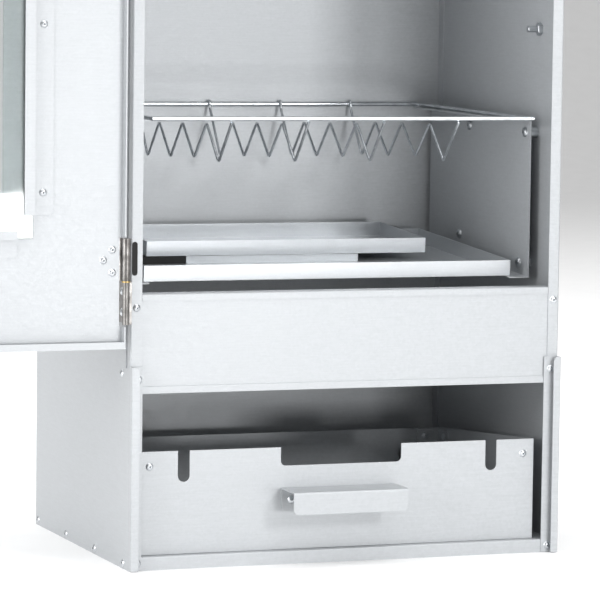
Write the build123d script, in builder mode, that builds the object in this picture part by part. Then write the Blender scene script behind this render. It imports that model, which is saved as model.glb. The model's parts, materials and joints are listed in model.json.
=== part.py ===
"""A galvanised sheet-steel smoking cabinet: a hinged door with a window, a fish rack, two
trays, a fire drawer and a damped flue.

Millimetres. +Z is up, the front faces -Y and +X is to the right of somebody at the front.
The pieces are laid out about the middle of the cabinet's footprint, at ground level. The
origin is then set on the ground at the middle of the front edge, which is where save() moves it.
The door is built standing fully open, turned half a turn from where it shuts.
"""
from build123d import *
import os
from math import cos, hypot, radians, sin, tan

os.makedirs("parts", exist_ok=True)

# ---- Cabinet shell ----
WIDTH = 400.0
DEPTH = 284.0
HEIGHT = 850.0
SHEET = 1.0            # thickness of the folded shell panels
FOLD = 1.6             # outside radius of a folded corner
FLANGE = 10.5          # width of the flanges either side of the front opening
REAR_TAB = 12.0        # flange that joins the rear panel to a side
FLOOR_TOP = 11.7
ROOF_TAB = 16.0
APRON = 36.0           # depth of the front rail that hangs from the roof
BAND_BOTTOM = 152.6    # firewall band between the smoke chamber and the fire chamber
BAND_TOP = 238.0
BAND_TAB = 26.0        # side tabs of the band: how far back they reach, and their top
BAND_TAB_TOP = 200.0
BAND_LEDGE = 16.0
BAND_HEM = 6.0

HALF = WIDTH / 2
FRONT = -DEPTH / 2
BACK = DEPTH / 2
OPENING = HALF - FLANGE            # half-width of the front opening
ORIGIN_Y = FRONT + SHEET / 2       # middle of the front lip's bottom edge

# ---- Guides for a slide-in cover over the fire chamber ----
GUIDE_TOP = 176.0
GUIDE_GAP = 5.0
GUIDE_LIP = 6.8
GUIDE_FOOT = {"left": 11.2, "right": 13.8}

# ---- Fasteners ----
RIVET_SHANK = 1.6
RIVET_HEAD = 3.4
RIVET_DOME = 1.4
RIVET_SOCKET = 1.2     # depth below the seat of the hole that the pulled pin leaves
RIVET_TAIL = 2.5
RIVET_HOLE = 1.7
SIDE_RIVET_Y = (-127.0, -43.0, 44.0, 134.0)
BASE_RIVET_Z = 5.2
BAND_RIVET_YZ = (-120.0, 168.7)
FLANGE_RIVET_X = 194.4
TOP_RIVET_Z = 843.5    # above the shut door
BAND_RIVET_Z = 226.5
GUIDE_RIVET_X = 192.4
GUIDE_RIVET_Z = (6.5, 165.0)

# ---- Door and its hinge axis ----
HINGE_X = -206.3
HINGE_Y = -149.0
DOOR_OVERHANG = 4.1    # how far the shut door stands past each side of the cabinet
DOOR_BOTTOM = 192.8
DOOR_TOP = 838.0
DOOR_LIP = 9.0
DOOR_GAP = 0.5         # between the shut door's lip and the cabinet front
DOOR_RETURN = 6.0
DOOR_WIDTH = WIDTH + 2 * DOOR_OVERHANG
DOOR_EDGE = 2 * HINGE_X + HALF + DOOR_OVERHANG      # hinge-side edge of the open door
SKIN_OUT = 2 * HINGE_Y - (FRONT - DOOR_GAP - DOOR_LIP)  # outer face, towards +Y when open
SKIN_IN = SKIN_OUT - SHEET
LIP_TIP = SKIN_OUT - DOOR_LIP

# ---- Lift-off hinges ----
HINGE_Z = (213.0, 741.0)     # foot of each hinge
KNUCKLE = 36.0
WASHER = 1.2
KNUCKLE_GAP = WASHER + 0.3
SOCKET_R = 3.9
POST_R = 3.1
PIN_R = 2.0
PIN_FIT = 0.06
LEAF = 2.0
NOTCH = 3.4
SLOT_IN = 3.6          # plugged slot in the left flange beside each upper knuckle
SLOT_LONG = 29.0
SLOT_WIDE = 5.0

# ---- Window, measured across the door from its hinge edge ----
WINDOW = (106.5, 301.7)
WINDOW_Z = (297.0, 637.0)
WINDOW_CORNER = 8.0
GLASS = (80.3, 327.9)
GLASS_Z = (287.5, 646.5)
GLASS_THICK = 4.0
GLASS_GAP = 0.1        # to the door skin on one face and to the rails on the other
RAIL_Z = (307.0, 627.0)
RAIL_FOOT = 18.0
RAIL_LIP = 8.0
END_RAIL = (94.0, 314.2)
END_RAIL_FOOT = 16.5
END_RAIL_LIP = 6.4

# ---- Thermometer and latch on the door ----
DIAL_ACROSS = 204.1
DIAL_Z = 735.0
DIAL_R = 27.0
DIAL_DEPTH = 12.0
POINTER_REST = 135.0   # degrees: points at the cold end of the scale
STEM_R = 3.0
STEM_LENGTH = 60.0
LATCH_ACROSS = 384.1
LATCH_Z = 515.0
SHAFT_R = 4.0
CAM_REACH = 17.0
CAM_HALF = 7.0

# ---- Rack holders, rack and trays ----
HOLDER_WEB = 188.0
HOLDER_LEDGE = 18.5
HOLDER_Y = (-100.0, 133.0)
HOLDER_SCREWS = ((-89.0, 373.5), (-79.0, 255.5), (38.0, 375.0), (58.0, 272.0))
SCREW_R = 2.5
SPACER_R = 5.0
REST_Y = -94.6
REST_Z = 466.0
REST_R = 3.0
RACK_SLOPE = 0.84
RACK_Y = (-129.0, 138.0)
RACK_FRONT_Z = 387.0
RACK_HALF = 176.5
ROD_R = 2.0
WIRE_R = 1.2
ZIGZAGS = 4
VALLEY_DROPS = (39.5, 39.5, 43.0, 46.5)    # below the rods, from the front to the back
PEAK_DROPS = (7.0, 10.0, 13.0)
TRAY_SLOPE = 3.8
TRAY_FRONT_Y = -94.0
TRAY_FRONT_Z = 244.6
TRAY_HALF = 173.0
TRAY_LONG = 217.0
TRAY_DEEP = 14.0
TRAY_SHEET = 0.8
SMALL_TRAY_X = (-139.4, 130.0)
SMALL_TRAY_Y = (97.2, 210.6)       # along the sloping floor of the large tray
SMALL_TRAY_RISE = 7.0
SMALL_TRAY_DEEP = 13.5
TRAY_CLEAR = 0.35
STAND_X = (-101.6, 64.0)
STAND_DEEP = 108.0
BLOCK_X = (-158.0, -102.0)
BLOCK_DEEP = 16.0

# ---- Fire drawer ----
DRAWER_X = (-188.3, 181.3)
DRAWER_Y = (-134.0, 84.0)
DRAWER_Z = 12.0
DRAWER_FRONT_TOP = 101.5
DRAWER_REAR_TOP = 85.8
DRAWER_SHEET = 0.8
NOTCH_X = (-59.0, 54.0)
NOTCH_FLOOR = 85.3
VENT_X = (-148.0, 140.0)
VENT_R = 5.4
VENT_FLOOR = 74.5
DRAWER_RIVET_X = (-179.0, 171.0)
DRAWER_RIVET_Z = 88.5
HANDLE_X = (-58.4, 48.1)
HANDLE_Z = (46.3, 66.0)
HANDLE_REACH = 33.0
HANDLE_SHEET = 1.2
SIGHT_HOLE = (144.0, 62.0)
SIGHT_HOLE_R = 6.0
BRACKET_LEG = 23.0
BRACKET_HIGH = 12.5
BRACKET_SHEET = 1.5

# ---- Flue ----
FLUE_R = 38.0
FLUE_TOP = 905.0
FLUE_FLANGE = 50.0
DAMPER_R = 36.3
DAMPER_Z = 882.0
SPINDLE_R = 2.0
SPINDLE_FIT = 0.08

# Directions in which a fastener's head can face: Euler angles that turn +Z that way
TO_FRONT = (90, 0, 0)
TO_REAR = (-90, 0, 0)
TO_LEFT = (0, -90, 0)
TO_RIGHT = (0, 90, 0)
SIDES = {"left": (-1, TO_LEFT), "right": (1, TO_RIGHT)}


def block(x, y, z, mode=Mode.ADD):
    """Add or cut a box that spans three (low, high) ranges, in any order."""
    (x0, x1), (y0, y1), (z0, z1) = sorted(x), sorted(y), sorted(z)
    with Locations(((x0 + x1) / 2, (y0 + y1) / 2, (z0 + z1) / 2)):
        Box(x1 - x0, y1 - y0, z1 - z0, mode=mode)


def drill(spots, facing, radius, depth=30.0):
    """Cut round holes through the piece at each spot, along the way a head faces."""
    with Locations(*[Location(spot, facing) for spot in spots]):
        Cylinder(radius, depth, mode=Mode.SUBTRACT)


def place(piece, spots, facing):
    """Add a copy of a fastener at each spot, with its head facing one way."""
    with Locations(*[Location(spot, facing) for spot in spots]):
        add(piece)


def round_fold(builder, x, y, radius=FOLD):
    """Round the upright outside edge of a fold that stands at (x, y)."""
    uprights = builder.edges().filter_by(Axis.Z)
    fillet([e for e in uprights if hypot(e.center().X - x, e.center().Y - y) < 0.1], radius)


def save(builder, name):
    """Move the finished piece to the origin's frame, label it and write its STEP file."""
    finished = builder.part.moved(Location((0, -ORIGIN_Y, 0)))
    finished.label = name
    export_step(finished, f"parts/{name}.step")


def pop_rivet(grip):
    """A blind rivet: the head's seat is at z = 0 and the shank runs down through the grip."""
    with BuildPart() as rivet:
        with BuildSketch(Plane.XZ):
            with BuildLine():
                Polyline((0, -RIVET_SOCKET), (1.0, -RIVET_SOCKET), (1.0, RIVET_DOME))
                ThreePointArc((1.0, RIVET_DOME), (2.5, 0.95), (RIVET_HEAD, 0))
                Polyline((RIVET_HEAD, 0), (RIVET_SHANK, 0), (RIVET_SHANK, -grip),
                         (RIVET_TAIL, -grip), (RIVET_TAIL, -grip - 1.2),
                         (1.7, -grip - 1.8), (0, -grip - 1.8), (0, -RIVET_SOCKET))
            make_face()
        revolve(axis=Axis.Z)
    return rivet.part


def hexagon(across, thick, bore):
    """A plain hexagon nut standing on z = 0."""
    with BuildPart() as nut:
        with BuildSketch():
            RegularPolygon(across / 2, 6, major_radius=False)
            Circle(bore, mode=Mode.SUBTRACT)
        extrude(amount=thick)
        chamfer(nut.edges().filter_by(GeomType.LINE).group_by(Axis.Z)[-1], 0.4)
    return nut.part


def tube(outer, bore, length):
    """A plain tube standing on z = 0."""
    with BuildPart() as piece:
        with BuildSketch():
            Circle(outer)
            Circle(bore, mode=Mode.SUBTRACT)
        extrude(amount=length)
    return piece.part


def pan_screw(reach):
    """A pan-head screw with its seat at z = 0 and a driver recess in the head."""
    with BuildPart() as screw:
        with BuildSketch(Plane.XZ):
            with BuildLine():
                Polyline((0, 1.2), (1.4, 1.2), (1.4, 2.6))
                ThreePointArc((1.4, 2.6), (3.6, 2.0), (4.6, 0))
                Polyline((4.6, 0), (SCREW_R, 0), (SCREW_R, -reach + 0.5),
                         (SCREW_R - 0.5, -reach), (0, -reach), (0, 1.2))
            make_face()
        revolve(axis=Axis.Z)
    return screw.part


def hexagon_bolt(across, thick, radius, reach):
    """A hexagon-head bolt with its seat at z = 0."""
    with BuildPart() as bolt:
        with BuildSketch():
            RegularPolygon(across / 2, 6, major_radius=False)
        extrude(amount=thick)
        chamfer(bolt.edges().filter_by(GeomType.LINE).group_by(Axis.Z)[-1], 0.5)
        with BuildSketch():
            Circle(radius)
        extrude(amount=-reach)
        chamfer(bolt.edges().filter_by(GeomType.CIRCLE).group_by(Axis.Z)[0], 0.6)
    return bolt.part


# ---------------------------------------------------------------- cabinet shell

WALL_RIVETS_YZ = [(y, BASE_RIVET_Z) for y in SIDE_RIVET_Y]
WALL_RIVETS_YZ += [(y, HEIGHT - ROOF_TAB / 2 - SHEET) for y in SIDE_RIVET_Y]
WALL_RIVETS_YZ.append(BAND_RIVET_YZ)
FLANGE_RIVETS_Z = (BAND_RIVET_Z, TOP_RIVET_Z)
STRIP_Y = (FRONT + 8.5, FRONT + 34.0)
STRIP_Z = (174.0, 830.0)
POST_LEAF_X = -HALF - SHEET


def hinge_leaf_rivets(foot):
    """(y, z) of the three rivets that hold a cabinet-side hinge leaf."""
    return [(STRIP_Y[0] + 3.0 + dy, foot + KNUCKLE * share) for dy, share in
            ((2.0, 0.25), (13.0, 0.5), (2.0, 0.75))]


def slot(foot, y_front, y_back, wide, mode=Mode.ADD):
    """Add or cut an upright slot shape in the left flange, level with a hinge's upper knuckle."""
    middle = foot + KNUCKLE + KNUCKLE_GAP + KNUCKLE / 2
    with BuildSketch(Plane.XZ.offset(-y_back)) as outline:
        with Locations((-HALF + SLOT_IN, middle)):
            SlotOverall(SLOT_LONG - SLOT_WIDE + wide, wide, rotation=90)
    extrude(outline.sketch, amount=y_back - y_front, mode=mode)


def side_panel(side):
    """A side wall, its front flange folded inwards, drilled for its rivets and bolts."""
    sign, facing = SIDES[side]
    outer = sign * HALF
    with BuildPart() as panel:
        block((outer, outer - sign * SHEET), (FRONT, BACK), (0, HEIGHT - SHEET))
        block((outer, outer - sign * FLANGE), (FRONT, FRONT + SHEET), (0, HEIGHT - SHEET))
        round_fold(panel, outer, FRONT)
        drill([(outer, y, z) for y, z in WALL_RIVETS_YZ], facing, RIVET_HOLE)
        drill([(sign * FLANGE_RIVET_X, FRONT, z) for z in FLANGE_RIVETS_Z], TO_FRONT,
              RIVET_HOLE, depth=6)
        drill([(sign * GUIDE_RIVET_X, FRONT, z) for z in GUIDE_RIVET_Z], TO_FRONT,
              RIVET_HOLE, depth=6)
        drill([(outer, y, z) for y, z in HOLDER_SCREWS], facing, SCREW_R + 0.1)
        drill([(outer, REST_Y, REST_Z)], facing, REST_R + 0.1)
        if side == "left":
            for foot in HINGE_Z:
                drill([(outer, y, z) for y, z in hinge_leaf_rivets(foot)], facing, RIVET_HOLE)
                slot(foot, FRONT - 1, FRONT + 2, SLOT_WIDE, Mode.SUBTRACT)
    save(panel, f"{side}_side_panel")


side_panel("left")
side_panel("right")

with BuildPart() as slot_plugs:
    for foot in HINGE_Z:
        slot(foot, FRONT + 0.2, FRONT + SHEET + 1.5, SLOT_WIDE - 0.02)
save(slot_plugs, "slot_plugs")

with BuildPart() as rear_panel:
    inner = HALF - SHEET
    block((-inner, inner), (BACK - SHEET, BACK), (0, HEIGHT - SHEET))
    for sign, facing in SIDES.values():
        block((sign * inner, sign * (inner - SHEET)), (BACK - REAR_TAB, BACK), (0, HEIGHT - SHEET))
        drill([(sign * inner, SIDE_RIVET_Y[-1], z) for z in
               (BASE_RIVET_Z, HEIGHT - ROOF_TAB / 2 - SHEET)], facing, RIVET_HOLE, depth=8)
save(rear_panel, "rear_panel")

with BuildPart() as floor_panel:
    inner = HALF - SHEET
    tab_back = BACK - REAR_TAB - 0.2
    block((-inner + SHEET, inner - SHEET), (FRONT + SHEET, BACK - SHEET),
          (FLOOR_TOP - SHEET, FLOOR_TOP))
    block((-OPENING + 0.1, OPENING - 0.1), (FRONT, FRONT + SHEET), (0, FLOOR_TOP))
    block((-inner + 4, inner - 4), (BACK - 2 * SHEET, BACK - SHEET), (0, FLOOR_TOP))
    for sign, facing in SIDES.values():
        block((sign * inner, sign * (inner - SHEET)), (FRONT + SHEET, tab_back), (0, FLOOR_TOP))
        drill([(sign * inner, y, BASE_RIVET_Z) for y in SIDE_RIVET_Y[:-1]], facing,
              RIVET_HOLE, depth=8)
    lip_fold = floor_panel.edges().filter_by(Axis.X).group_by(Axis.Y)[0].sort_by(Axis.Z)[-1]
    fillet(lip_fold, 0.8)
save(floor_panel, "floor_panel")

with BuildPart() as roof_panel:
    inner = HALF - SHEET
    block((-HALF, HALF), (FRONT, BACK), (HEIGHT - SHEET, HEIGHT))
    block((-inner, inner), (FRONT + SHEET, FRONT + 2 * SHEET), (HEIGHT - APRON, HEIGHT))
    for sign, facing in SIDES.values():
        block((sign * inner, sign * (inner - SHEET)), (FRONT + SHEET, BACK - REAR_TAB - 0.2),
              (HEIGHT - ROOF_TAB - SHEET, HEIGHT))
        drill([(sign * inner, y, HEIGHT - ROOF_TAB / 2 - SHEET) for y in SIDE_RIVET_Y[:-1]],
              facing, RIVET_HOLE, depth=8)
        drill([(sign * FLANGE_RIVET_X, FRONT, TOP_RIVET_Z)], TO_FRONT, RIVET_HOLE, depth=8)
    with Locations((0, 0, HEIGHT)):
        Cylinder(FLUE_R + 0.1, 10, mode=Mode.SUBTRACT)
    fillet(roof_panel.edges().group_by(Axis.Z)[-1].filter_by(GeomType.LINE), 0.6)
save(roof_panel, "roof_panel")

with BuildPart() as firewall_band:
    inner = HALF - SHEET
    face = FRONT + SHEET
    with BuildSketch(Plane.YZ.offset(-inner)):
        with BuildLine():
            Polyline((face, BAND_BOTTOM), (face, BAND_TOP), (face + BAND_LEDGE, BAND_TOP),
                     (face + BAND_LEDGE, BAND_TOP - SHEET), (face + SHEET, BAND_TOP - SHEET),
                     (face + SHEET, BAND_BOTTOM), close=True)
        make_face()
    extrude(amount=2 * inner)
    top_fold = firewall_band.edges().filter_by(Axis.X)
    fillet(top_fold.group_by(Axis.Y)[0].sort_by(Axis.Z)[-1], 0.8)
    for hem in ((BAND_BOTTOM, BAND_BOTTOM + BAND_HEM), (BAND_TOP - BAND_HEM, BAND_TOP - 0.8)):
        block((-OPENING + 0.3, OPENING - 0.3), (face - 0.8, face), hem)
    for sign, facing in SIDES.values():
        block((sign * inner, sign * (inner - SHEET)), (face + SHEET, face + BAND_TAB),
              (BAND_BOTTOM, BAND_TAB_TOP))
        block((sign * inner, sign * (inner - 5)), (face + 3, face + BAND_LEDGE + 1),
              (BAND_TOP - SHEET - 1, BAND_TOP + 1), mode=Mode.SUBTRACT)
        drill([(sign * inner, *BAND_RIVET_YZ)], facing, RIVET_HOLE, depth=8)
        drill([(sign * FLANGE_RIVET_X, face, BAND_RIVET_Z)], TO_FRONT, RIVET_HOLE, depth=8)
        drill([(sign * GUIDE_RIVET_X, face, GUIDE_RIVET_Z[1])], TO_FRONT, RIVET_HOLE, depth=8)
save(firewall_band, "firewall_band")


def cover_guide(side):
    """A folded channel that a cover slides down behind, open at the top."""
    sign, _ = SIDES[side]
    outer = sign * HALF
    foot, lip = FRONT - SHEET, FRONT - 2 * SHEET - GUIDE_GAP
    with BuildPart() as guide:
        block((outer, outer - sign * GUIDE_FOOT[side]), (foot, FRONT), (0.6, GUIDE_TOP))
        block((outer, outer - sign * SHEET), (lip, foot), (0.6, GUIDE_TOP))
        block((outer, outer - sign * GUIDE_LIP), (lip, lip + SHEET), (0.6, GUIDE_TOP))
        corner = guide.edges().filter_by(Axis.Y).filter_by(
            lambda e: e.center().Z > GUIDE_TOP - 0.1
            and abs(e.center().X - outer + sign * GUIDE_LIP) < 0.1)
        fillet(corner, 4.5)
        round_fold(guide, outer, lip, 0.9)
        drill([(sign * GUIDE_RIVET_X, FRONT, z) for z in GUIDE_RIVET_Z], TO_FRONT,
              RIVET_HOLE, depth=4)
    save(guide, f"{side}_cover_guide")


cover_guide("left")
cover_guide("right")

with BuildPart() as hinge_strip:
    block((POST_LEAF_X, -HALF), STRIP_Y, STRIP_Z)
    for foot in HINGE_Z:
        drill([(-HALF, y, z) for y, z in hinge_leaf_rivets(foot)], TO_LEFT, RIVET_HOLE)
save(hinge_strip, "hinge_strip")

with BuildPart() as shell_rivets:
    rivet = pop_rivet(2 * SHEET)
    for sign, facing in SIDES.values():
        place(rivet, [(sign * HALF, y, z) for y, z in WALL_RIVETS_YZ], facing)
        place(rivet, [(sign * FLANGE_RIVET_X, FRONT, z) for z in FLANGE_RIVETS_Z], TO_FRONT)
save(shell_rivets, "shell_rivets")

with BuildPart() as guide_rivets:
    for z, layers in zip(GUIDE_RIVET_Z, (2, 3)):
        place(pop_rivet(layers * SHEET), [(sign * GUIDE_RIVET_X, FRONT - SHEET, z)
                                          for sign in (-1, 1)], TO_FRONT)
save(guide_rivets, "guide_rivets")

# ---------------------------------------------------------------- lift-off hinges


def hinge_post(name, foot):
    """The cabinet half: a leaf on the strip and a solid knuckle that carries the pin."""
    leaf_x = (POST_LEAF_X - LEAF - 0.5, POST_LEAF_X)
    with BuildPart() as post:
        with BuildSketch(Plane.XY.offset(foot)):
            with Locations((HINGE_X, HINGE_Y)):
                Circle(POST_R)
        extrude(amount=KNUCKLE)
        block(leaf_x, (HINGE_Y, STRIP_Y[1] - 6), (foot, foot + KNUCKLE))
        with Locations((HINGE_X, HINGE_Y, foot + KNUCKLE)):
            Cylinder(PIN_R, 2 * (KNUCKLE - 8), mode=Mode.SUBTRACT)
        drill([(-HALF, y, z) for y, z in hinge_leaf_rivets(foot)], TO_LEFT, RIVET_HOLE)
    save(post, name)


def hinge_socket(name, foot):
    """The door half: a leaf on the door's outer face and a bored knuckle over the pin."""
    low = foot + KNUCKLE + KNUCKLE_GAP
    with BuildPart() as socket:
        with BuildSketch(Plane.XY.offset(low)):
            with Locations((HINGE_X, HINGE_Y)):
                Circle(SOCKET_R)
        extrude(amount=KNUCKLE)
        block((HINGE_X, DOOR_EDGE - 24), (SKIN_OUT, SKIN_OUT + LEAF), (low, low + KNUCKLE))
        with Locations((HINGE_X, HINGE_Y, low)):
            Cylinder(PIN_R + PIN_FIT, 2 * (KNUCKLE - 8), mode=Mode.SUBTRACT)
        drill(door_leaf_rivets(foot, SKIN_OUT), TO_FRONT, RIVET_HOLE, depth=12)
    save(socket, name)


def door_leaf_rivets(foot, y):
    """The three rivets that hold a hinge leaf to the door."""
    low = foot + KNUCKLE + KNUCKLE_GAP
    return [(DOOR_EDGE - across, y, low + up) for across, up in ((9.8, 7), (17.7, 17.5), (9.8, 26.5))]


for place_name, foot in zip(("lower", "upper"), HINGE_Z):
    hinge_post(f"{place_name}_hinge_post", foot)
    hinge_socket(f"{place_name}_hinge_socket", foot)

with BuildPart() as hinge_pins:
    for foot in HINGE_Z:
        with Locations((HINGE_X, HINGE_Y, foot + KNUCKLE)):
            Cylinder(PIN_R, 2 * (KNUCKLE - 8) - 1)
save(hinge_pins, "hinge_pins")

with BuildPart() as hinge_washers:
    for foot in HINGE_Z:
        with BuildSketch(Plane.XY.offset(foot + KNUCKLE)):
            with Locations((HINGE_X, HINGE_Y)):
                Circle(POST_R + 0.6)
                Circle(PIN_R, mode=Mode.SUBTRACT)
        extrude(amount=WASHER)
save(hinge_washers, "hinge_washers")

with BuildPart() as hinge_rivets:
    rivet = pop_rivet(LEAF + 0.5 + 2 * SHEET)
    for foot in HINGE_Z:
        place(rivet, [(POST_LEAF_X - LEAF - 0.5, y, z) for y, z in hinge_leaf_rivets(foot)], TO_LEFT)
save(hinge_rivets, "hinge_rivets")

# ---------------------------------------------------------------- rack holders and rests


def rise(y, slope):
    """Height gained from the front of the holder to y on a surface at this slope in degrees."""
    return (y - HOLDER_Y[0]) * tan(radians(slope))


def holder_face(low_front, low_slope, high_front, high_slope):
    """The four corners, in (y, z), of a face between two sloping lines along the holder."""
    front, back = HOLDER_Y
    return ((front, low_front), (back, low_front + rise(back, low_slope)),
            (back, high_front + rise(back, high_slope)), (front, high_front))


TRAY_LEDGE_Z = TRAY_FRONT_Z - TRAY_CLEAR + (HOLDER_Y[0] - TRAY_FRONT_Y) * tan(radians(TRAY_SLOPE))
RACK_LEDGE_Z = (RACK_FRONT_Z - ROD_R - TRAY_CLEAR
                + (HOLDER_Y[0] - RACK_Y[0]) * tan(radians(RACK_SLOPE)))

with BuildPart() as right_rack_holder:
    web = holder_face(TRAY_LEDGE_Z - SHEET, TRAY_SLOPE, RACK_LEDGE_Z, RACK_SLOPE)
    tray_ledge = holder_face(TRAY_LEDGE_Z - SHEET, TRAY_SLOPE, TRAY_LEDGE_Z, TRAY_SLOPE)
    rack_ledge = holder_face(RACK_LEDGE_Z - SHEET, RACK_SLOPE, RACK_LEDGE_Z, RACK_SLOPE)
    for outline, inner in ((web, HOLDER_WEB), (tray_ledge, HOLDER_WEB - HOLDER_LEDGE),
                           (rack_ledge, HOLDER_WEB - HOLDER_LEDGE)):
        with BuildSketch(Plane.YZ.offset(inner)):
            Polygon(*outline, align=None)
        extrude(amount=HOLDER_WEB + SHEET - inner)
    drill([(HOLDER_WEB, y, z) for y, z in HOLDER_SCREWS], TO_RIGHT, SCREW_R + 0.1, depth=8)
save(right_rack_holder, "right_rack_holder")

with BuildPart() as left_rack_holder:
    add(mirror(right_rack_holder.part, about=Plane.YZ))
save(left_rack_holder, "left_rack_holder")

with BuildPart() as holder_spacers:
    spacer = tube(SPACER_R, SCREW_R + 0.1, HALF - HOLDER_WEB - 2 * SHEET)
    for sign, facing in SIDES.values():
        place(spacer, [(sign * (HOLDER_WEB + SHEET), y, z) for y, z in HOLDER_SCREWS], facing)
save(holder_spacers, "holder_spacers")

with BuildPart() as holder_screws:
    screw = pan_screw(HALF + 5.0 - HOLDER_WEB)
    for sign, facing in ((-1, TO_RIGHT), (1, TO_LEFT)):
        place(screw, [(sign * HOLDER_WEB, y, z) for y, z in HOLDER_SCREWS], facing)
save(holder_screws, "holder_screws")

with BuildPart() as holder_nuts:
    nut = hexagon(8.0, 4.0, SCREW_R + 0.02)
    for sign, facing in SIDES.values():
        place(nut, [(sign * HALF, y, z) for y, z in HOLDER_SCREWS], facing)
save(holder_nuts, "holder_nuts")

with BuildPart() as rest_bolts:
    bolt = hexagon_bolt(10.0, 4.0, REST_R, 14.4)
    for sign, facing in SIDES.values():
        place(bolt, [(sign * HALF, REST_Y, REST_Z)], facing)
save(rest_bolts, "rest_bolts")

with BuildPart() as rest_nuts:
    nut = hexagon(10.0, 4.5, REST_R + 0.02)
    place(nut, [(-HALF + SHEET, REST_Y, REST_Z)], TO_RIGHT)
    place(nut, [(HALF - SHEET, REST_Y, REST_Z)], TO_LEFT)
save(rest_nuts, "rest_nuts")

# ---------------------------------------------------------------- fish rack


def rack_height(y):
    """Height of the rack's rod centres at this depth."""
    return RACK_FRONT_Z + (y - RACK_Y[0]) * tan(radians(RACK_SLOPE))


with BuildPart() as rack_frame:
    for y in RACK_Y:
        with BuildSketch(Plane.YZ.offset(-RACK_HALF - ROD_R)):
            with Locations((y, rack_height(y))):
                Circle(ROD_R)
        extrude(amount=2 * (RACK_HALF + ROD_R))
    chamfer(rack_frame.edges().filter_by(GeomType.CIRCLE), 0.4)
    for sign in (-1, 1):
        start = Vector(sign * RACK_HALF, RACK_Y[0], rack_height(RACK_Y[0]))
        end = Vector(sign * RACK_HALF, RACK_Y[1], rack_height(RACK_Y[1]))
        with BuildSketch(Plane(origin=start, x_dir=(1, 0, 0), z_dir=end - start)):
            Circle(ROD_R - 0.1)
        extrude(amount=(end - start).length)
save(rack_frame, "rack_frame")


def zigzag_points():
    """(y, z) of one hanging wire: hooked on the front rod, down and up, over the rear rod."""
    pitch = (RACK_Y[1] - RACK_Y[0]) / len(VALLEY_DROPS)
    lift = ROD_R + WIRE_R
    points = [(RACK_Y[0], rack_height(RACK_Y[0]) - lift)]
    for tooth, drop in enumerate(VALLEY_DROPS):
        low = RACK_Y[0] + pitch * (tooth + 0.5)
        points.append((low, rack_height(low) - drop))
        if tooth < len(PEAK_DROPS):
            high = RACK_Y[0] + pitch * (tooth + 1)
            points.append((high, rack_height(high) - PEAK_DROPS[tooth]))
    rear = rack_height(RACK_Y[1])
    points.append((RACK_Y[1] - lift, rear - 4.0))
    points.append((RACK_Y[1] - lift, rear + lift))
    points.append((RACK_Y[1] + 0.5, rear + lift))
    return points


with BuildPart() as rack_zigzags:
    spacing = 2 * RACK_HALF / (ZIGZAGS + 1)
    route = zigzag_points()
    for index in range(ZIGZAGS):
        x = -RACK_HALF + spacing * (index + 1)
        with BuildLine(Plane.YZ.offset(x)) as wire:
            FilletPolyline(*route, radius=3.2)
        with BuildSketch(Plane(origin=wire.line @ 0, x_dir=(1, 0, 0), z_dir=wire.line % 0)):
            Circle(WIRE_R)
        sweep(path=wire.line)
save(rack_zigzags, "rack_zigzags")

# ---------------------------------------------------------------- trays

SLOPE = radians(TRAY_SLOPE)
TRAY_PLANE = Plane(origin=(0, TRAY_FRONT_Y, TRAY_FRONT_Z), x_dir=(1, 0, 0),
                   z_dir=(0, -sin(SLOPE), cos(SLOPE)))


def pan(x, y, z, wall):
    """An open-topped folded tray that spans the three ranges."""
    block(x, y, z)
    block((x[0] + wall, x[1] - wall), (y[0] + wall, y[1] - wall), (z[0] + wall, z[1] + 1),
          mode=Mode.SUBTRACT)


with BuildPart(TRAY_PLANE) as drip_tray:
    pan((-TRAY_HALF, TRAY_HALF), (0, TRAY_LONG), (0, TRAY_DEEP), TRAY_SHEET)
save(drip_tray, "drip_tray")

STAND_TOP = TRAY_SHEET + SMALL_TRAY_RISE

with BuildPart(TRAY_PLANE) as tray_stand:
    near, far = SMALL_TRAY_Y[0] + 0.4, SMALL_TRAY_Y[0] + STAND_DEEP
    block(STAND_X, (near, far), (TRAY_SHEET, STAND_TOP))
    block((STAND_X[0] - 1, STAND_X[1] + 1), (near + TRAY_SHEET, far - TRAY_SHEET),
          (TRAY_SHEET - 1, STAND_TOP - TRAY_SHEET), mode=Mode.SUBTRACT)
save(tray_stand, "tray_stand")

with BuildPart(TRAY_PLANE) as tray_block:
    block(BLOCK_X, (SMALL_TRAY_Y[0] + 0.2, SMALL_TRAY_Y[0] + BLOCK_DEEP), (TRAY_SHEET, STAND_TOP))
save(tray_block, "tray_block")

with BuildPart(TRAY_PLANE) as chip_tray:
    rest = STAND_TOP + TRAY_CLEAR
    pan(SMALL_TRAY_X, SMALL_TRAY_Y, (rest, rest + SMALL_TRAY_DEEP), TRAY_SHEET)
save(chip_tray, "chip_tray")

# ---------------------------------------------------------------- fire drawer

DRAWER_BACK_SKIN = DRAWER_Y[0] + SHEET
DRAWER_INNER_X = (DRAWER_X[0] + DRAWER_SHEET, DRAWER_X[1] - DRAWER_SHEET)
DRAWER_INNER_BACK = DRAWER_Y[1] - DRAWER_SHEET
BRACKET_TOP = DRAWER_REAR_TOP - 1.2
BRACKET_RIVET_Z = BRACKET_TOP - BRACKET_HIGH / 2
BRACKET_RIVET_IN = 15.0      # from the drawer's inner corner along each leg


def bracket_rivets(depth):
    """Where each bracket rivet sits, this far in from the drawer's inner walls."""
    rear, sides = [], []
    for corner, inward in zip(DRAWER_INNER_X, (1, -1)):
        rear.append((corner + inward * BRACKET_RIVET_IN, DRAWER_INNER_BACK - depth, BRACKET_RIVET_Z))
        sides.append((corner + inward * depth, DRAWER_INNER_BACK - BRACKET_RIVET_IN, BRACKET_RIVET_Z))
    return rear, sides


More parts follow.
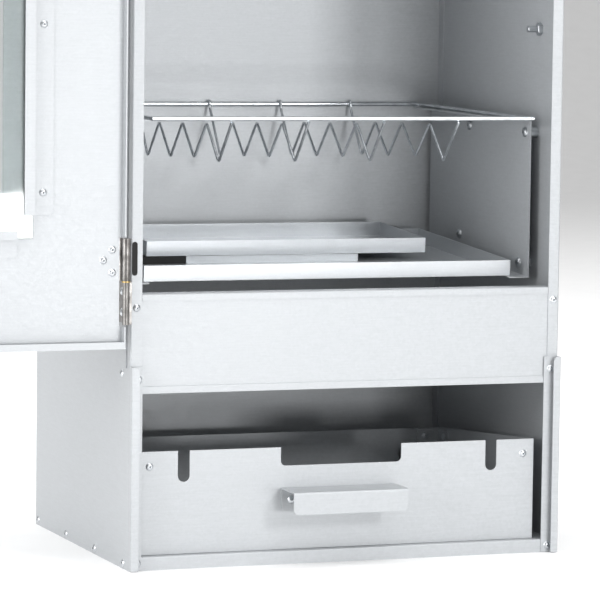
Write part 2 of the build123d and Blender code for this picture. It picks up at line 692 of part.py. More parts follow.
def drill_brackets():
    """Cut the bracket rivets' holes through whatever stands at the drawer's rear corners."""
    rear, sides = bracket_rivets(0)
    drill(rear, TO_FRONT, RIVET_HOLE, depth=8)
    drill(sides, TO_RIGHT, RIVET_HOLE, depth=8)


def drawer_side(y_front, y_back, floor, spare):
    """Outline, in (y, z), of the drawer between two depths, with its top edge sloping."""
    fall = (DRAWER_FRONT_TOP - DRAWER_REAR_TOP) / (DRAWER_Y[1] - DRAWER_Y[0])
    return ((y_front, floor), (y_back, floor),
            (y_back, DRAWER_FRONT_TOP - fall * (y_back - DRAWER_Y[0]) + spare),
            (y_front, DRAWER_FRONT_TOP - fall * (y_front - DRAWER_Y[0]) + spare))


with BuildPart() as drawer_pan:
    left, right = DRAWER_X
    wall = DRAWER_SHEET
    with BuildSketch(Plane.YZ.offset(left)):
        Polygon(*drawer_side(DRAWER_BACK_SKIN, DRAWER_Y[1], DRAWER_Z, 0), align=None)
    extrude(amount=right - left)
    with BuildSketch(Plane.YZ.offset(left + wall)):
        Polygon(*drawer_side(DRAWER_BACK_SKIN - 1, DRAWER_Y[1] - wall, DRAWER_Z + wall, 5),
                align=None)
    extrude(amount=right - left - 2 * wall, mode=Mode.SUBTRACT)
    for edge, inward in ((left, 1), (right, -1)):
        block((edge, edge + inward * 17), (DRAWER_BACK_SKIN, DRAWER_BACK_SKIN + wall), (13, 98))
    drill([(x, DRAWER_Y[0], DRAWER_RIVET_Z) for x in DRAWER_RIVET_X], TO_FRONT, RIVET_HOLE, depth=8)
    drill([(sign * SIGHT_HOLE[0], DRAWER_Y[1], SIGHT_HOLE[1]) for sign in (-1, 1)], TO_REAR,
          SIGHT_HOLE_R, depth=8)
    drill_brackets()
save(drawer_pan, "drawer_pan")

HANDLE_RIVETS_X = (HANDLE_X[0] + 9.2, HANDLE_X[1] - 9.2)
HANDLE_RIVET_Z = 55.5

with BuildPart() as drawer_front:
    with BuildSketch(Plane.XZ.offset(-DRAWER_BACK_SKIN)):
        with Locations(((DRAWER_X[0] + DRAWER_X[1]) / 2, (DRAWER_Z + DRAWER_FRONT_TOP) / 2)):
            Rectangle(DRAWER_X[1] - DRAWER_X[0], DRAWER_FRONT_TOP - DRAWER_Z)
        high = DRAWER_FRONT_TOP + 10
        with Locations(((NOTCH_X[0] + NOTCH_X[1]) / 2, (NOTCH_FLOOR + high) / 2)):
            RectangleRounded(NOTCH_X[1] - NOTCH_X[0], high - NOTCH_FLOOR, 4.5, mode=Mode.SUBTRACT)
        for x in VENT_X:
            with Locations((x, (VENT_FLOOR + high) / 2)):
                SlotOverall(high - VENT_FLOOR, 2 * VENT_R, rotation=90, mode=Mode.SUBTRACT)
    extrude(amount=SHEET)
    drill([(x, DRAWER_Y[0], DRAWER_RIVET_Z) for x in DRAWER_RIVET_X], TO_FRONT, RIVET_HOLE, depth=8)
    drill([(x, DRAWER_Y[0], HANDLE_RIVET_Z) for x in HANDLE_RIVETS_X], TO_FRONT, RIVET_HOLE, depth=8)
save(drawer_front, "drawer_front")

with BuildPart() as drawer_handle:
    near, thick = DRAWER_Y[0], HANDLE_SHEET
    with BuildSketch(Plane.YZ.offset(HANDLE_X[0])):
        with BuildLine():
            Polyline((near, HANDLE_Z[0]), (near, HANDLE_Z[1]), (near - HANDLE_REACH, HANDLE_Z[1]),
                     (near - HANDLE_REACH, HANDLE_Z[0]), (near - HANDLE_REACH + thick, HANDLE_Z[0]),
                     (near - HANDLE_REACH + thick, HANDLE_Z[1] - thick),
                     (near - thick, HANDLE_Z[1] - thick), (near - thick, HANDLE_Z[0]), close=True)
        make_face()
    extrude(amount=HANDLE_X[1] - HANDLE_X[0])
    folds = drawer_handle.edges().filter_by(Axis.X).group_by(Axis.Z)[-1]
    fillet(folds, 1.8)
    lower_corners = drawer_handle.edges().filter_by(Axis.Y).group_by(Axis.Z)[0]
    fillet(lower_corners, 4.0)
    drill([(x, near, HANDLE_RIVET_Z) for x in HANDLE_RIVETS_X], TO_FRONT, RIVET_HOLE, depth=8)
save(drawer_handle, "drawer_handle")

with BuildPart() as drawer_corner_brackets:
    z = (BRACKET_TOP - BRACKET_HIGH, BRACKET_TOP)
    for corner, inward in zip(DRAWER_INNER_X, (1, -1)):
        back = DRAWER_INNER_BACK
        block((corner, corner + inward * BRACKET_LEG), (back - BRACKET_SHEET, back), z)
        block((corner, corner + inward * BRACKET_SHEET), (back - BRACKET_LEG, back), z)
    drill_brackets()
save(drawer_corner_brackets, "drawer_corner_brackets")

with BuildPart() as drawer_rivets:
    place(pop_rivet(SHEET + DRAWER_SHEET), [(x, DRAWER_Y[0], DRAWER_RIVET_Z)
                                            for x in DRAWER_RIVET_X], TO_FRONT)
    place(pop_rivet(SHEET + HANDLE_SHEET), [(x, DRAWER_Y[0] - HANDLE_SHEET, HANDLE_RIVET_Z)
                                            for x in HANDLE_RIVETS_X], TO_FRONT)
    rivet = pop_rivet(BRACKET_SHEET + DRAWER_SHEET)
    rear, (left_side, right_side) = bracket_rivets(BRACKET_SHEET)
    place(rivet, rear, TO_FRONT)
    place(rivet, [left_side], TO_RIGHT)
    place(rivet, [right_side], TO_LEFT)
save(drawer_rivets, "drawer_rivets")

# ---------------------------------------------------------------- door


def across(distance):
    """X of a point on the open door, measured from its hinge edge."""
    return DOOR_EDGE - distance


RAIL_FACE = SKIN_IN - SHEET                # front of a glass rail's foot
RAIL_HOLD = SKIN_IN - GLASS_THICK - 2 * GLASS_GAP    # face of a rail's lip over the glass
GLASS_RAIL_RIVETS_Z = (326.0, 467.0, 608.0)
END_RAIL_RIVETS = (120.0, 204.1, 288.2)

with BuildPart() as door_panel:
    wide, high = (across(0), across(DOOR_WIDTH)), (DOOR_BOTTOM, DOOR_TOP)
    block(wide, (SKIN_IN, SKIN_OUT), high)
    for edge, inward in ((across(0), -1), (across(DOOR_WIDTH), 1)):
        block((edge, edge + inward * SHEET), (LIP_TIP, SKIN_OUT), high)
    for edge, inward in ((DOOR_BOTTOM, 1), (DOOR_TOP, -1)):
        block(wide, (LIP_TIP, SKIN_OUT), (edge, edge + inward * SHEET))
        block(wide, (LIP_TIP, LIP_TIP + SHEET), (edge, edge + inward * DOOR_RETURN))
    outer_edges = door_panel.edges().group_by(Axis.Y)[-1]
    fillet(outer_edges, 0.9)
    with BuildSketch(Plane.XZ.offset(-SKIN_OUT)):
        with Locations((across(sum(WINDOW) / 2), sum(WINDOW_Z) / 2)):
            RectangleRounded(WINDOW[1] - WINDOW[0], WINDOW_Z[1] - WINDOW_Z[0], WINDOW_CORNER)
    extrude(amount=4, both=True, mode=Mode.SUBTRACT)
    for foot in HINGE_Z:
        block((across(-1), across(NOTCH)), (LIP_TIP - 1, SKIN_OUT + 1),
              (foot - 1.5, foot + 2 * KNUCKLE + KNUCKLE_GAP + 1.5), mode=Mode.SUBTRACT)
        drill(door_leaf_rivets(foot, SKIN_OUT), TO_FRONT, RIVET_HOLE, depth=8)
    for distance in (GLASS[0] - RAIL_FOOT / 2, GLASS[1] + RAIL_FOOT / 2):
        drill([(across(distance), SKIN_IN, z) for z in GLASS_RAIL_RIVETS_Z], TO_FRONT, RIVET_HOLE,
              depth=6)
    for z in (GLASS_Z[0] - END_RAIL_FOOT / 2, GLASS_Z[1] + END_RAIL_FOOT / 2):
        drill([(across(d), SKIN_IN, z) for d in END_RAIL_RIVETS], TO_FRONT, RIVET_HOLE, depth=6)
    drill([(across(DIAL_ACROSS), SKIN_OUT, DIAL_Z)], TO_FRONT, STEM_R + 0.2, depth=6)
    drill([(across(LATCH_ACROSS), SKIN_OUT, LATCH_Z)], TO_FRONT, SHAFT_R + 2.1, depth=6)
save(door_panel, "door_panel")

with BuildPart() as window_glass:
    block((across(GLASS[0] + 0.3), across(GLASS[1] - 0.3)),
          (SKIN_IN - GLASS_GAP - GLASS_THICK, SKIN_IN - GLASS_GAP),
          (GLASS_Z[0] + 0.3, GLASS_Z[1] - 0.3))
    chamfer(window_glass.edges().filter_by(Axis.Z), 0.5)
save(window_glass, "window_glass")


def side_rail(name, edge, outward):
    """A Z-section rail: a foot on the door skin and a lip over the side edge of the glass."""
    with BuildPart() as rail:
        block((across(edge), across(edge + outward * RAIL_FOOT)), (RAIL_FACE, SKIN_IN), RAIL_Z)
        feet = rail.edges().filter_by(Axis.Y).filter_by(
            lambda e: abs(e.center().X - across(edge + outward * RAIL_FOOT)) < 0.1)
        fillet(feet, 4.0)
        block((across(edge), across(edge + outward * SHEET)), (RAIL_HOLD - SHEET, SKIN_IN), RAIL_Z)
        block((across(edge + outward * SHEET), across(edge - outward * RAIL_LIP)),
              (RAIL_HOLD - SHEET, RAIL_HOLD), RAIL_Z)
        drill([(across(edge + outward * RAIL_FOOT / 2), SKIN_IN, z) for z in GLASS_RAIL_RIVETS_Z],
              TO_FRONT, RIVET_HOLE, depth=6)
    save(rail, name)


def end_rail(name, edge, outward):
    """The same section laid across the top or the bottom of the glass."""
    width = (across(END_RAIL[0]), across(END_RAIL[1]))
    with BuildPart() as rail:
        block(width, (RAIL_FACE, SKIN_IN), (edge, edge + outward * END_RAIL_FOOT))
        feet = rail.edges().filter_by(Axis.Y).filter_by(
            lambda e: abs(e.center().Z - edge - outward * END_RAIL_FOOT) < 0.1)
        fillet(feet, 3.0)
        block(width, (RAIL_HOLD - SHEET, SKIN_IN), (edge, edge + outward * SHEET))
        block(width, (RAIL_HOLD - SHEET, RAIL_HOLD),
              (edge + outward * SHEET, edge - outward * END_RAIL_LIP))
        drill([(across(d), SKIN_IN, edge + outward * END_RAIL_FOOT / 2) for d in END_RAIL_RIVETS],
              TO_FRONT, RIVET_HOLE, depth=6)
    save(rail, name)


side_rail("hinge_side_glass_rail", GLASS[0], -1)
side_rail("latch_side_glass_rail", GLASS[1], 1)
end_rail("bottom_glass_rail", GLASS_Z[0], -1)
end_rail("top_glass_rail", GLASS_Z[1], 1)

with BuildPart() as door_rivets:
    for foot in HINGE_Z:
        place(pop_rivet(SHEET + LEAF), door_leaf_rivets(foot, SKIN_IN), TO_FRONT)
    rivet = pop_rivet(2 * SHEET)
    for distance in (GLASS[0] - RAIL_FOOT / 2, GLASS[1] + RAIL_FOOT / 2):
        place(rivet, [(across(distance), RAIL_FACE, z) for z in GLASS_RAIL_RIVETS_Z], TO_FRONT)
    for z in (GLASS_Z[0] - END_RAIL_FOOT / 2, GLASS_Z[1] + END_RAIL_FOOT / 2):
        place(rivet, [(across(d), RAIL_FACE, z) for d in END_RAIL_RIVETS], TO_FRONT)
save(door_rivets, "door_rivets")

# ---------------------------------------------------------------- thermometer

DIAL_X = across(DIAL_ACROSS)
DIAL_PLANE = Plane(origin=(DIAL_X, SKIN_OUT, DIAL_Z), x_dir=(-1, 0, 0), z_dir=(0, 1, 0))

with BuildPart(DIAL_PLANE) as thermometer_case:
    with BuildSketch(DIAL_PLANE):
        Circle(DIAL_R)
    extrude(amount=DIAL_DEPTH)
    fillet(thermometer_case.edges().group_by(Axis.Y)[-1], 1.5)
    with BuildSketch(DIAL_PLANE.offset(1.5)):
        Circle(DIAL_R - 2.2)
    extrude(amount=DIAL_DEPTH, mode=Mode.SUBTRACT)
    with BuildSketch(DIAL_PLANE):
        Circle(STEM_R + 0.02)
    extrude(amount=3, mode=Mode.SUBTRACT)
save(thermometer_case, "thermometer_case")

with BuildPart(DIAL_PLANE) as thermometer_dial:
    with BuildSketch(DIAL_PLANE.offset(3.0)):
        Circle(DIAL_R - 2.4)
        Circle(1.0, mode=Mode.SUBTRACT)
    extrude(amount=0.8)
    with BuildSketch(DIAL_PLANE.offset(3.8)):
        for angle in range(-135, 136, 27):
            with PolarLocations(DIAL_R - 5.4, 1, start_angle=angle + 90):
                Rectangle(3.6, 0.9)
    extrude(amount=0.2)
save(thermometer_dial, "thermometer_dial")

with BuildPart(DIAL_PLANE) as thermometer_glass:
    with BuildSketch(DIAL_PLANE.offset(DIAL_DEPTH - 3.5)):
        Circle(DIAL_R - 2.25)
    extrude(amount=1.5)
save(thermometer_glass, "thermometer_glass")

with BuildPart(DIAL_PLANE) as thermometer_pointer:
    with BuildSketch(DIAL_PLANE.offset(4.9)):
        Circle(2.6)
        Polygon((-1.3, -7), (1.3, -7), (0.35, DIAL_R - 8), (-0.35, DIAL_R - 8),
                rotation=POINTER_REST, align=None)
    extrude(amount=0.6)
    with BuildSketch(DIAL_PLANE.offset(2.2)):
        Circle(0.9)
    extrude(amount=3.0)
save(thermometer_pointer, "thermometer_pointer")

with BuildPart(DIAL_PLANE) as thermometer_stem:
    with BuildSketch(DIAL_PLANE.offset(-STEM_LENGTH)):
        Circle(STEM_R)
    extrude(amount=STEM_LENGTH + 1.9)
    fillet(thermometer_stem.edges().group_by(Axis.Y)[0], 1.2)
save(thermometer_stem, "thermometer_stem")

with BuildPart() as thermometer_nut:
    place(hexagon(13.0, 5.0, STEM_R + 0.02), [(DIAL_X, SKIN_IN, DIAL_Z)], TO_FRONT)
save(thermometer_nut, "thermometer_nut")

# ---------------------------------------------------------------- door latch

LATCH_X = across(LATCH_ACROSS)
LATCH_PLANE = Plane(origin=(LATCH_X, SKIN_OUT, LATCH_Z), x_dir=(-1, 0, 0), z_dir=(0, 1, 0))
CAM_Y = 2 * HINGE_Y - (FRONT + 2.3)        # face of the cam that bears behind the flange
CAM_THICK = 2.5

with BuildPart(LATCH_PLANE) as latch_bush:
    with BuildSketch(LATCH_PLANE):
        Circle(SHAFT_R + 6)
    extrude(amount=3)
    fillet(latch_bush.edges().group_by(Axis.Y)[-1], 0.8)
    with BuildSketch(LATCH_PLANE.offset(-SHEET)):
        Circle(SHAFT_R + 2)
    extrude(amount=SHEET)
    with BuildSketch(LATCH_PLANE.offset(-SHEET - 2.5)):
        Circle(SHAFT_R + 4)
    extrude(amount=2.5)
    with BuildSketch(LATCH_PLANE.offset(-10)):
        Circle(SHAFT_R + 0.06)
    extrude(amount=20, mode=Mode.SUBTRACT)
save(latch_bush, "latch_bush")

with BuildPart(LATCH_PLANE) as latch_handle:
    shaft_end = SKIN_OUT - CAM_Y + CAM_THICK
    with BuildSketch(LATCH_PLANE.offset(-shaft_end + CAM_THICK)):
        Circle(SHAFT_R)
    extrude(amount=shaft_end - CAM_THICK + 9)
    with BuildSketch(LATCH_PLANE.offset(-shaft_end - 4.5)):
        Circle(3.0)
    extrude(amount=CAM_THICK + 5.0)
    with BuildSketch(LATCH_PLANE.offset(6)):
        with Locations((0, -22)):
            SlotOverall(76, 15, rotation=90)
    extrude(amount=9)
    fillet(latch_handle.edges().group_by(Axis.Y)[-1], 3.0)
save(latch_handle, "latch_handle")

with BuildPart(LATCH_PLANE) as latch_cam:
    with BuildSketch(LATCH_PLANE.offset(-shaft_end)):
        with Locations((0, (CAM_HALF - CAM_REACH) / 2)):
            SlotOverall(CAM_REACH + CAM_HALF, 2 * CAM_HALF - 1, rotation=90)
        Circle(3.02, mode=Mode.SUBTRACT)
    extrude(amount=CAM_THICK)
save(latch_cam, "latch_cam")

with BuildPart() as latch_nut:
    place(hexagon(10.0, 4.0, 3.02), [(LATCH_X, SKIN_OUT - shaft_end, LATCH_Z)], TO_FRONT)
save(latch_nut, "latch_nut")

# ---------------------------------------------------------------- flue and damper

with BuildPart() as flue_collar:
    with BuildSketch(Plane.XY.offset(HEIGHT)):
        Circle(FLUE_FLANGE)
    extrude(amount=SHEET)
    with BuildSketch(Plane.XY.offset(HEIGHT - 9)):
        Circle(FLUE_R)
    extrude(amount=FLUE_TOP - HEIGHT + 9)
    with BuildSketch(Plane.XY.offset(FLUE_TOP - 3)):
        Circle(FLUE_R + 1.2)
    extrude(amount=3)
    fillet(flue_collar.edges().group_by(Axis.Z)[-1], 1.0)
    with Locations((0, 0, HEIGHT)):
        Cylinder(FLUE_R - SHEET, 200, mode=Mode.SUBTRACT)
    drill([(0, 0, DAMPER_Z)], TO_RIGHT, SPINDLE_R + SPINDLE_FIT, depth=200)
save(flue_collar, "flue_collar")

with BuildPart() as damper_disc:
    with BuildSketch(Plane.XY.offset(DAMPER_Z + SPINDLE_R)):
        Circle(DAMPER_R)
    extrude(amount=SHEET)
save(damper_disc, "damper_disc")

with BuildPart() as damper_spindle:
    with BuildLine() as bent_rod:
        FilletPolyline((-FLUE_R - 5, 0, DAMPER_Z), (FLUE_R + 22, 0, DAMPER_Z),
                       (FLUE_R + 22, -34, DAMPER_Z), radius=6)
    with BuildSketch(Plane(origin=bent_rod.line @ 0, z_dir=bent_rod.line % 0)):
        Circle(SPINDLE_R)
    sweep(path=bent_rod.line)
save(damper_spindle, "damper_spindle")
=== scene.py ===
import json
from math import cos, pi, radians, sin

import bmesh
import bpy
from mathutils import Matrix, Vector


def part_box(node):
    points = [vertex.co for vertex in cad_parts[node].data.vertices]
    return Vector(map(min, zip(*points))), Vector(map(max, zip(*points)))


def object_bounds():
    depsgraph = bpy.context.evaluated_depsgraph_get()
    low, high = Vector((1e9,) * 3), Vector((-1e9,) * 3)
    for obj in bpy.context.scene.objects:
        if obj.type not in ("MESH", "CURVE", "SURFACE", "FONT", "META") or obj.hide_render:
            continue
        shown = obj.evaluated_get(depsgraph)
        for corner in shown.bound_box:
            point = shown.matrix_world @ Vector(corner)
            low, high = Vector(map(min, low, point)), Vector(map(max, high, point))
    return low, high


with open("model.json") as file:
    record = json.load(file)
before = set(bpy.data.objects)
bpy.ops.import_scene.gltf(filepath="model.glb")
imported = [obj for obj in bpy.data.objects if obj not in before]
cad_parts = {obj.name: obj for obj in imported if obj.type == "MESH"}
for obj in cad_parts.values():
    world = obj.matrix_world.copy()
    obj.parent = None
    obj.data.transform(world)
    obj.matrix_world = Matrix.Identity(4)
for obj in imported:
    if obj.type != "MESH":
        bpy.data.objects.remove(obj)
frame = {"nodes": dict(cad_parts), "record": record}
CAD_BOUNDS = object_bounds()
NODES = frame["nodes"]


# ---------------------------------------------------------------- shader building

class Shader:
    """A Principled material and the few node chains that the finishes are built from."""

    def __init__(self, name, colour, metallic=0.0, roughness=0.5, **sockets):
        self.material = bpy.data.materials.new(name)
        self.material.use_nodes = True
        self.nodes = self.material.node_tree.nodes
        self.links = self.material.node_tree.links
        self.bsdf = self.nodes["Principled BSDF"]
        self.bsdf.inputs["Base Color"].default_value = (*colour, 1)
        self.bsdf.inputs["Metallic"].default_value = metallic
        self.bsdf.inputs["Roughness"].default_value = roughness
        for socket, value in sockets.items():
            self.bsdf.inputs[socket.replace("_", " ")].default_value = value
        self.coords = self.nodes.new("ShaderNodeTexCoord")
        self.relief = None      # the last bump layer's normal

    def point(self, stretch=(1, 1, 1)):
        """Object coordinates, squeezed along each axis."""
        mapping = self.nodes.new("ShaderNodeMapping")
        mapping.inputs["Scale"].default_value = stretch
        self.links.new(self.coords.outputs["Object"], mapping.inputs["Vector"])
        return mapping.outputs["Vector"]

    def noise(self, scale, detail=2.0, rough=0.5, stretch=(1, 1, 1)):
        """Cloudy noise from 0 to 1; scale is in waves per metre."""
        node = self.nodes.new("ShaderNodeTexNoise")
        node.inputs["Scale"].default_value = scale
        node.inputs["Detail"].default_value = detail
        node.inputs["Roughness"].default_value = rough
        self.links.new(self.point(stretch), node.inputs["Vector"])
        return node.outputs["Fac"]

    def cells(self, scale, stretch=(1, 1, 1)):
        """A random value from 0 to 1 for each crystal of a zinc coating."""
        node = self.nodes.new("ShaderNodeTexVoronoi")
        node.inputs["Scale"].default_value = scale
        self.links.new(self.point(stretch), node.inputs["Vector"])
        split = self.nodes.new("ShaderNodeSeparateColor")
        self.links.new(node.outputs["Color"], split.inputs["Color"])
        return split.outputs["Red"]

    def spread(self, value, low, high, source=(0.0, 1.0)):
        """Map a 0 to 1 value onto a range of numbers."""
        node = self.nodes.new("ShaderNodeMapRange")
        node.inputs["From Min"].default_value, node.inputs["From Max"].default_value = source
        node.inputs["To Min"].default_value, node.inputs["To Max"].default_value = low, high
        self.links.new(value, node.inputs["Value"])
        return node.outputs["Result"]

    def combine(self, first, second):
        """Add two values."""
        node = self.nodes.new("ShaderNodeMath")
        node.operation = "ADD"
        self.links.new(first, node.inputs[0])
        self.links.new(second, node.inputs[1])
        return node.outputs["Value"]

    def colours(self, value, low, high, source=(0.0, 1.0)):
        """Blend between two colours by a value."""
        ramp = self.nodes.new("ShaderNodeValToRGB")
        stops = ramp.color_ramp.elements
        stops[0].position, stops[1].position = source
        stops[0].color, stops[1].color = (*low, 1), (*high, 1)
        self.links.new(value, ramp.inputs["Fac"])
        return ramp.outputs["Color"]

    def paint(self, colour):
        """Take the base colour from a socket."""
        self.links.new(colour, self.bsdf.inputs["Base Color"])

    def dull(self, roughness):
        """Take the roughness from a socket."""
        self.links.new(roughness, self.bsdf.inputs["Roughness"])

    def bump(self, height, strength, depth=0.001):
        """Stack a bump layer on the ones before it; depth is in metres."""
        node = self.nodes.new("ShaderNodeBump")
        node.inputs["Strength"].default_value = strength
        node.inputs["Distance"].default_value = depth
        self.links.new(height, node.inputs["Height"])
        if self.relief:
            self.links.new(self.relief, node.inputs["Normal"])
        self.relief = node.outputs["Normal"]
        self.links.new(self.relief, self.bsdf.inputs["Normal"])


def shade(value):
    """A grey with zinc's cool cast."""
    return (value * 0.93, value * 0.966, value)


ROLLED_GRAIN = (0.08, 0.08, 1)      # noise drawn out along x and y, so that lines run level


def galvanised(name, tone, crystal=420.0, contrast=0.10, metallic=0.35, rough=0.46):
    """Zinc-coated sheet: small crystals, a cloudy bloom and a faint rolling grain."""
    finish = Shader(name, shade(tone), metallic, rough)
    crystals = finish.combine(finish.cells(crystal), finish.noise(crystal * 4, 3, 0.6))
    bloom = finish.noise(7.0, 4, 0.55)
    rolled = finish.noise(700.0, 3, 0.65, ROLLED_GRAIN)
    mix = finish.combine(finish.spread(crystals, 0.0, 0.45, (0.3, 1.7)), finish.spread(bloom, 0, 0.2))
    mix = finish.combine(mix, finish.spread(rolled, 0.0, 0.5, (0.25, 0.75)))
    finish.paint(finish.colours(mix, shade(tone * (1 - contrast)), shade(tone * (1 + contrast))))
    finish.dull(finish.combine(finish.spread(crystals, rough - 0.07, rough + 0.05, (0.2, 1.8)),
                               finish.spread(rolled, -0.04, 0.05)))
    finish.bump(finish.noise(14.0, 2, 0.5), 0.25, 0.0006)
    finish.bump(crystals, 0.12, 0.0001)
    finish.bump(rolled, 0.2, 0.0001)
    return finish


def wire_steel(name, tone, rough):
    """Bright metal with dull zinc patches and a fine roughness, for wire, rivets and bolts."""
    finish = Shader(name, shade(tone), 1.0, rough)
    patches = finish.noise(90.0, 4, 0.6)
    finish.paint(finish.colours(patches, shade(tone * 0.72), shade(tone * 1.08), (0.3, 0.7)))
    finish.dull(finish.spread(patches, rough - 0.08, rough + 0.12))
    finish.bump(finish.noise(900.0, 2, 0.5), 0.15, 0.0001)
    return finish


def dark_hinge_steel():
    """Unplated hinge steel, brown-black with rubbed lighter patches."""
    finish = Shader("dark_steel", (0.05, 0.04, 0.035), 0.85, 0.42)
    wear = finish.noise(120.0, 5, 0.65)
    finish.paint(finish.colours(wear, (0.10, 0.095, 0.09), (0.30, 0.29, 0.28), (0.3, 0.7)))
    finish.dull(finish.spread(wear, 0.42, 0.22))
    finish.bump(finish.noise(600.0, 3, 0.6), 0.3, 0.0001)
    return finish


def clear_glass():
    """Window glass with a light bloom of dust in the reflections."""
    finish = Shader("clear_glass", (0.93, 0.97, 0.96), 0.0, 0.03, IOR=1.46)
    finish.bsdf.inputs["Transmission Weight"].default_value = 1.0
    dust = finish.noise(30.0, 4, 0.6)
    finish.dull(finish.spread(dust, 0.0, 0.07, (0.35, 0.75)))
    return finish


def moulded(name, tone, rough, texture=1400.0):
    """Black plastic, paint or rubber with a fine pebbled texture."""
    finish = Shader(name, (tone, tone, tone * 1.04), 0.0, rough)
    speck = finish.noise(texture, 3, 0.6)
    finish.paint(finish.colours(speck, (tone * 0.8,) * 3, (tone * 1.3,) * 3, (0.35, 0.65)))
    finish.dull(finish.spread(speck, rough - 0.08, rough + 0.08))
    finish.bump(speck, 0.4, 0.0001)
    return finish


def enamel(name, colour, rough):
    """Paint with a slight orange peel."""
    finish = Shader(name, colour, 0.0, rough)
    peel = finish.noise(500.0, 2, 0.5)
    low = tuple(c * 0.94 for c in colour)
    finish.paint(finish.colours(finish.noise(25.0, 3, 0.5), low, colour))
    finish.dull(finish.spread(peel, rough - 0.05, rough + 0.05))
    finish.bump(peel, 0.2, 0.0001)
    return finish


def brass():
    """Brass with brown tarnish."""
    finish = Shader("brass", (0.5, 0.36, 0.14), 1.0, 0.35)
    tarnish = finish.noise(200.0, 4, 0.6)
    finish.paint(finish.colours(tarnish, (0.30, 0.20, 0.08), (0.62, 0.47, 0.21), (0.3, 0.7)))
    finish.dull(finish.spread(tarnish, 0.28, 0.5))
    return finish


FINISHES = {
    "galvanised_sheet": galvanised("galvanised_sheet", 0.48),
    "tray_sheet": galvanised("tray_sheet", 0.62, crystal=700, contrast=0.05, metallic=0.6, rough=0.34),
    "plated_wire": wire_steel("plated_wire", 0.78, 0.2),
    "dark_steel": dark_hinge_steel(),
    "rivet_alloy": wire_steel("rivet_alloy", 0.74, 0.3),
    "plated_steel": wire_steel("plated_steel", 0.58, 0.34),
    "brass": brass(),
    "clear_glass": clear_glass(),
    "dial_paint": enamel("dial_paint", (0.80, 0.80, 0.76), 0.45),
    "pointer_paint": enamel("pointer_paint", (0.02, 0.02, 0.02), 0.4),
    "black_grip": moulded("black_grip", 0.02, 0.45),
    "black_paint": moulded("black_paint", 0.004, 0.6),
    "black_rubber": moulded("black_rubber", 0.006, 0.7, 900.0),
}
SLOT_OF = {part["node"]: part["material_slot"] for part in frame["record"]["subparts"]}

# ---------------------------------------------------------------- CAD nodes

SHARP_EDGE = radians(28)
# Pieces whose edges are rounded a little; broad sheets stay as the CAD has them.
SOFTENED = ("drawer_handle", "tray_block", "latch_handle", "drip_tray", "chip_tray", "tray_stand",
            "bottom_glass_rail", "top_glass_rail", "hinge_side_glass_rail", "latch_side_glass_rail",
            "left_cover_guide", "right_cover_guide", "drawer_corner_brackets")
SHEET_ROUND = 0.0002
ROUND_STEPS = 2
WELD_WITHIN = 0.00001
FLAT_WEIGHT = 80

for name, node in NODES.items():
    node.data.materials.clear()
    node.data.materials.append(FINISHES[SLOT_OF[name]].material)
    if name in SOFTENED:
        weld = node.modifiers.new("weld", "WELD")
        weld.merge_threshold = WELD_WITHIN
        bevel = node.modifiers.new("soft_edges", "BEVEL")
        bevel.width = SHEET_ROUND
        bevel.segments = ROUND_STEPS
        bevel.angle_limit = SHARP_EDGE
        node.modifiers.new("flat_faces", "WEIGHTED_NORMAL").weight = FLAT_WEIGHT

# ---------------------------------------------------------------- studio

FLOOR_Z = CAD_BOUNDS[0].z
SWEEP_HALF_WIDTH = 9.0
SWEEP_HEIGHT = 9.0
SWEEP_NEAR, SWEEP_BEND = -9.0, 5.0      # how far the flat part reaches, in front and behind
BEND_RADIUS = 3.0
BEND_STEPS = 24


def studio_floor():
    """A pale sweep: flat under the cabinet and curved up a long way behind it."""
    mesh = bmesh.new()
    profile = [(SWEEP_NEAR, FLOOR_Z), (SWEEP_BEND, FLOOR_Z)]
    for step in range(1, BEND_STEPS + 1):
        angle = pi / 2 * step / BEND_STEPS
        profile.append((SWEEP_BEND + BEND_RADIUS * sin(angle), FLOOR_Z + BEND_RADIUS * (1 - cos(angle))))
    profile.append((SWEEP_BEND + BEND_RADIUS, FLOOR_Z + SWEEP_HEIGHT))
    rows = [[mesh.verts.new((x, y, z)) for x in (-SWEEP_HALF_WIDTH, SWEEP_HALF_WIDTH)] for y, z in profile]
    for (a, b), (c, d) in zip(rows, rows[1:]):
        mesh.faces.new((a, b, d, c)).smooth = True
    data = bpy.data.meshes.new("studio_floor")
    mesh.to_mesh(data)
    mesh.free()
    sweep = bpy.data.objects.new("studio_floor", data)
    bpy.context.scene.collection.objects.link(sweep)
    sweep.data.materials.append(enamel("studio_white", (0.94, 0.94, 0.94), 0.8).material)


studio_floor()


def softbox(name, place, target, size, power):
    """A rectangular area light aimed at a point; size is in metres and power in watts."""
    light = bpy.data.lights.new(name, "AREA")
    light.shape = "RECTANGLE"
    light.size, light.size_y = size
    light.energy = power
    lamp = bpy.data.objects.new(name, light)
    lamp.location = place
    lamp.rotation_euler = (Vector(target) - Vector(place)).to_track_quat("-Z", "Y").to_euler()
    bpy.context.scene.collection.objects.link(lamp)


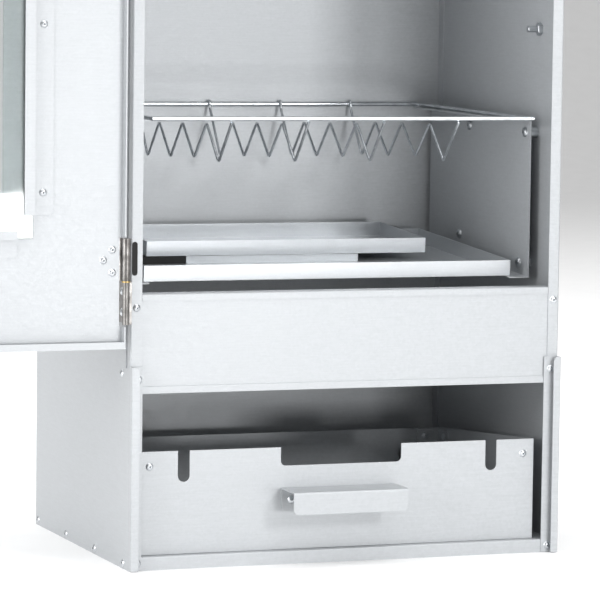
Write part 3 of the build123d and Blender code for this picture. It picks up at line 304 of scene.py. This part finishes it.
CENTRE = (0.0, 0.14, 0.4)
SKY_STRENGTH = 0.42
softbox("key", (1.05, -2.5, 1.25), CENTRE, (0.45, 0.45), 24)
softbox("low", (0.35, -2.2, 0.12), (0.0, 0.28, 0.12), (0.5, 0.15), 9)
softbox("left", (-3.0, -0.8, 0.7), (-0.2, 0.14, 0.3), (1.5, 1.5), 55)
softbox("top", (-0.2, 0.2, 3.4), CENTRE, (5.5, 5.5), 210)

world = bpy.data.worlds.new("studio")
world.use_nodes = True
sky = world.node_tree.nodes["Background"]
sky.inputs["Color"].default_value = (1.0, 1.0, 1.0, 1)
sky.inputs["Strength"].default_value = SKY_STRENGTH
scene = bpy.context.scene
scene.world = world
scene.view_settings.view_transform = "Standard"

# ---------------------------------------------------------------- camera

# The camera stands to the left, a little above, and aims near the top of the firewall band.
AZIMUTH, ELEVATION, ROLL = radians(-20.44), radians(4.94), radians(0.73)
DISTANCE = 3.0555
AIM_LEFT, AIM_ABOVE_FLOOR = 0.0461, 0.2306      # from the middle of the floor panel's front edge
LENS_MM, SENSOR_MM = 211.7, 36.0
NEAREST, FARTHEST = 0.05, 60.0
floor_low, floor_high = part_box("floor_panel")
aim = Vector(((floor_low.x + floor_high.x) / 2 - AIM_LEFT, floor_low.y, floor_low.z + AIM_ABOVE_FLOOR))
forward = Vector((-sin(AZIMUTH) * cos(ELEVATION), cos(AZIMUTH) * cos(ELEVATION), -sin(ELEVATION)))
right = forward.cross(Vector((0, 0, 1))).normalized()
up = right.cross(forward)
right, up = (cos(ROLL) * right + sin(ROLL) * up), (cos(ROLL) * up - sin(ROLL) * right)
camera = bpy.data.objects.new("camera", bpy.data.cameras.new("camera"))
camera.data.lens, camera.data.sensor_width = LENS_MM, SENSOR_MM
camera.data.clip_start, camera.data.clip_end = NEAREST, FARTHEST
turn = Matrix((right, up, -forward)).transposed()
camera.matrix_world = Matrix.Translation(aim - DISTANCE * forward) @ turn.to_4x4()
scene.collection.objects.link(camera)
scene.camera = camera
